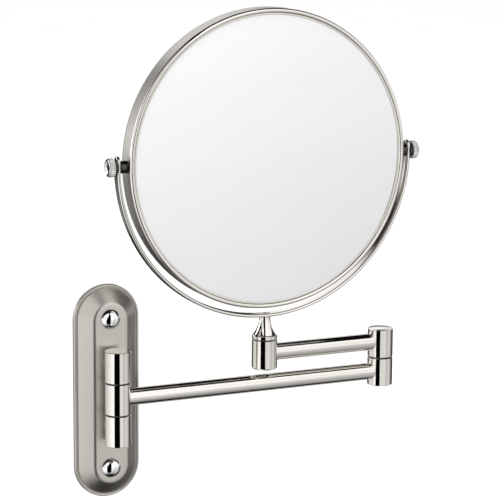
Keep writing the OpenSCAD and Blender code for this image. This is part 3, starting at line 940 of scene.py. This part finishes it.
# The dark card's corners as seen from above, and the heights where its outline bends.
CARD_LEFT = (-0.25, -0.22)
CARD_MIDDLE = (-0.033, -0.466)
CARD_RIGHT = (-0.01, -0.49)
CARD_BETWEEN = (-0.14, -0.345)
CARD_PANELS = [(CARD_LEFT, CARD_MIDDLE, -0.5), (CARD_LEFT, CARD_MIDDLE, -0.06),
               (CARD_BETWEEN, CARD_RIGHT, 0.34), (CARD_BETWEEN, CARD_RIGHT, 1.0)]


def dark_card(name, panels):
    """Upright black panels that only reflections see, from each (start, end, height) to the next."""
    bm = bmesh.new()
    for (start, end, low), (top_start, top_end, high) in zip(panels, panels[1:]):
        corners = [(*start, low), (*end, low), (*top_end, high), (*top_start, high)]
        bm.faces.new([bm.verts.new(c) for c in corners])
    s = Shader(name + "_black")
    material = s.finish(Base_Color=(0.0005, 0.0005, 0.0005, 1), Roughness=1.0, Specular_IOR_Level=0.0)
    card = mesh_object(name, bm, material)
    card.visible_camera = False
    card.visible_diffuse = False
    card.visible_shadow = False


class Sky:
    """The light tent: how bright the surroundings are in each direction."""

    def __init__(self):
        world = bpy.data.worlds.new("Light_tent")
        bpy.context.scene.world = world
        world.use_nodes = True
        self.tree = world.node_tree
        self.tree.nodes.clear()
        place = self.tree.nodes.new("ShaderNodeTexCoord").outputs["Generated"]
        parts = self.tree.nodes.new("ShaderNodeSeparateXYZ")
        self.tree.links.new(place, parts.inputs[0])
        x, y, z = parts.outputs
        self.side = x
        front = self.math("MULTIPLY", y, -1.0)
        self.azimuth = self.math("DEGREES", self.math("ARCTAN2", x, front))
        self.elevation = self.math("DEGREES", self.math("ARCSINE", z))
        self.pitch = self.math("DEGREES", self.math("ARCTAN2", z, front))

    def feed(self, node, *pairs):
        for socket, value in pairs:
            if isinstance(value, bpy.types.NodeSocket):
                self.tree.links.new(value, node.inputs[socket])
            else:
                node.inputs[socket].default_value = value
        return node.outputs[0]

    def math(self, operation, first, second=0.0):
        node = self.tree.nodes.new("ShaderNodeMath")
        node.operation = operation
        return self.feed(node, (0, first), (1, second))

    def mix(self, fac, first, second):
        node = self.tree.nodes.new("ShaderNodeMix")
        return self.feed(node, (0, fac), (2, first), (3, second))

    def step(self, value, start, end, low=0.0, high=1.0, shape="SMOOTHSTEP"):
        """low up to start, high from end, smooth in between."""
        node = self.tree.nodes.new("ShaderNodeMapRange")
        node.interpolation_type = shape
        return self.feed(node, ("Value", value), ("From Min", start), ("From Max", end),
                         ("To Min", low), ("To Max", high))

    def band(self, value, start, full, fade, end):
        """1 between full and fade, 0 before start and after end, smooth in between."""
        rise = self.step(value, start, full)
        return self.math("MULTIPLY", rise, self.step(value, fade, end, 1.0, 0.0))

    def curve(self, value, points):
        """Straight lines between (angle in degrees, level) points."""
        reach = 2.0
        node = self.tree.nodes.new("ShaderNodeValToRGB")
        self.feed(node, (0, self.step(value, -180.0, 180.0, shape="LINEAR")))
        stops = node.color_ramp.elements
        while len(stops) < len(points):
            stops.new(0.5)
        for stop, (angle, level) in zip(stops, points):
            stop.position = (angle + 180.0) / 360.0
            stop.color = (level / reach, level / reach, level / reach, 1.0)
        return self.math("MULTIPLY", node.outputs[0], reach)

    def finish(self, light):
        """Metal sees the pattern, the picture sees plain white and matt surfaces an even light."""
        ray = self.tree.nodes.new("ShaderNodeLightPath")
        even = self.mix(ray.outputs["Is Diffuse Ray"], light, MATT_LIGHT)
        plain = self.mix(ray.outputs["Is Camera Ray"], even, 1.0)
        background = self.tree.nodes.new("ShaderNodeBackground")
        background.inputs["Color"].default_value = (1, 1, 1, 1)
        self.tree.links.new(plain, background.inputs["Strength"])
        output = self.tree.nodes.new("ShaderNodeOutputWorld")
        self.tree.links.new(background.outputs[0], output.inputs[0])


MATT_LIGHT = 1.08
# How bright the tent is, as (angle in degrees, level): by elevation, and by azimuth below and
# above the horizon. Behind the object, left and right have levels of their own.
BY_HEIGHT = [(-90, 0.02), (-68, 0.03), (-60, 0.27), (-49, 0.55), (-37, 0.67), (-20, 0.84), (-15.2, 0.86),
             (-13.2, 0.76), (-11, 0.78), (-8, 0.93), (-5, 1.07), (1, 1.18), (8, 1.25), (45, 1.22),
             (90, 1.1)]
BY_TURN_LOW = [(-145, 0.85), (-113, 1.10), (-90, 1.32), (-75, 1.48), (-55, 1.50), (-30, 1.10), (0, 1.02),
               (16, 1.14), (33, 0.72), (45, 0.88), (60, 0.97), (70, 0.82), (80, 0.45), (92, 0.18),
               (104, 0.10), (112, 0.02), (127.5, 0.02), (131, 0.95), (145, 0.95)]
BY_TURN_HIGH = [(-145, 0.60), (-113, 0.70), (-90, 0.80), (-55, 0.80), (-30, 0.87), (0, 0.97), (16, 1.14),
                (33, 0.74), (60, 0.90), (90, 0.70), (115, 0.65)]
BEHIND_LEFT = [(-60, 0.02), (-32, 0.15), (-20, 0.22), (-14, 0.15), (-9, 0.03), (24, 0.03), (29, 0.9),
               (60, 1.0)]
BEHIND_RIGHT = [(-60, 0.02), (-40, 0.02), (7, 0.02), (11, 0.60), (14, 1.0), (20, 1.15), (60, 1.0)]
STRIP_ON_THE_LEFT = 3.3
OVERHEAD_DARK = 0.005


def make_light_tent():
    sky = Sky()
    height = sky.curve(sky.elevation, BY_HEIGHT)
    low = sky.curve(sky.azimuth, BY_TURN_LOW)
    high = sky.curve(sky.azimuth, BY_TURN_HIGH)
    turn = sky.mix(sky.step(sky.elevation, -9.0, 1.0), low, high)
    turn = sky.mix(sky.step(sky.elevation, 20.0, 42.0), turn, 1.0)
    front = sky.math("MULTIPLY", height, turn)
    left = sky.step(sky.side, -0.20, -0.06, 1.0, 0.0)
    behind_right = sky.curve(sky.elevation, BEHIND_RIGHT)
    behind_left = sky.curve(sky.elevation, BEHIND_LEFT)
    behind = sky.mix(left, behind_right, behind_left)
    strip = sky.band(sky.azimuth, -152.0, -148.0, -130.0, -122.0)
    strip = sky.math("MULTIPLY", strip, sky.step(sky.elevation, -9.0, -3.0))
    front = sky.mix(strip, front, STRIP_ON_THE_LEFT)
    light = sky.mix(sky.step(sky.math("ABSOLUTE", sky.azimuth), 146.0, 152.0), front, behind)
    overhead = sky.band(sky.pitch, 61.0, 67.0, 142.0, 152.0)
    light = sky.mix(overhead, light, OVERHEAD_DARK)
    sky.finish(light)


LAMP_SIZE = 1.4
LAMP_ENERGY = 46.0
LAMP_DISTANCE = 2.2
LAMP_AZIMUTH = -50.0
LAMP_ELEVATION = 55.0


def make_lamp():
    """A soft lamp for the matt surfaces and the floor's shadow. The metal only sees the tent."""
    data = bpy.data.lights.new("Key", "AREA")
    data.shape = "DISK"
    data.size = LAMP_SIZE
    data.energy = LAMP_ENERGY
    lamp = bpy.data.objects.new("Key", data)
    back = direction(LAMP_AZIMUTH, LAMP_ELEVATION)
    level = Vector((0, 0, 1)).cross(back).normalized()
    lamp.matrix_world = frame_axes(level, back.cross(level), back, CAMERA_TARGET + back * LAMP_DISTANCE)
    lamp.visible_glossy = False
    bpy.context.scene.collection.objects.link(lamp)


def make_studio():
    make_camera()
    make_floor()
    make_light_tent()
    make_lamp()
    dark_card("Dark_card", CARD_PANELS)
    bpy.context.scene.view_settings.view_transform = "Standard"


make_studio()
finish_cad_nodes()
build_wall_plate()
build_screw_caps()
build_wall_screws()
build_stem()
build_yoke()
build_mirror_head()
build_knobs()
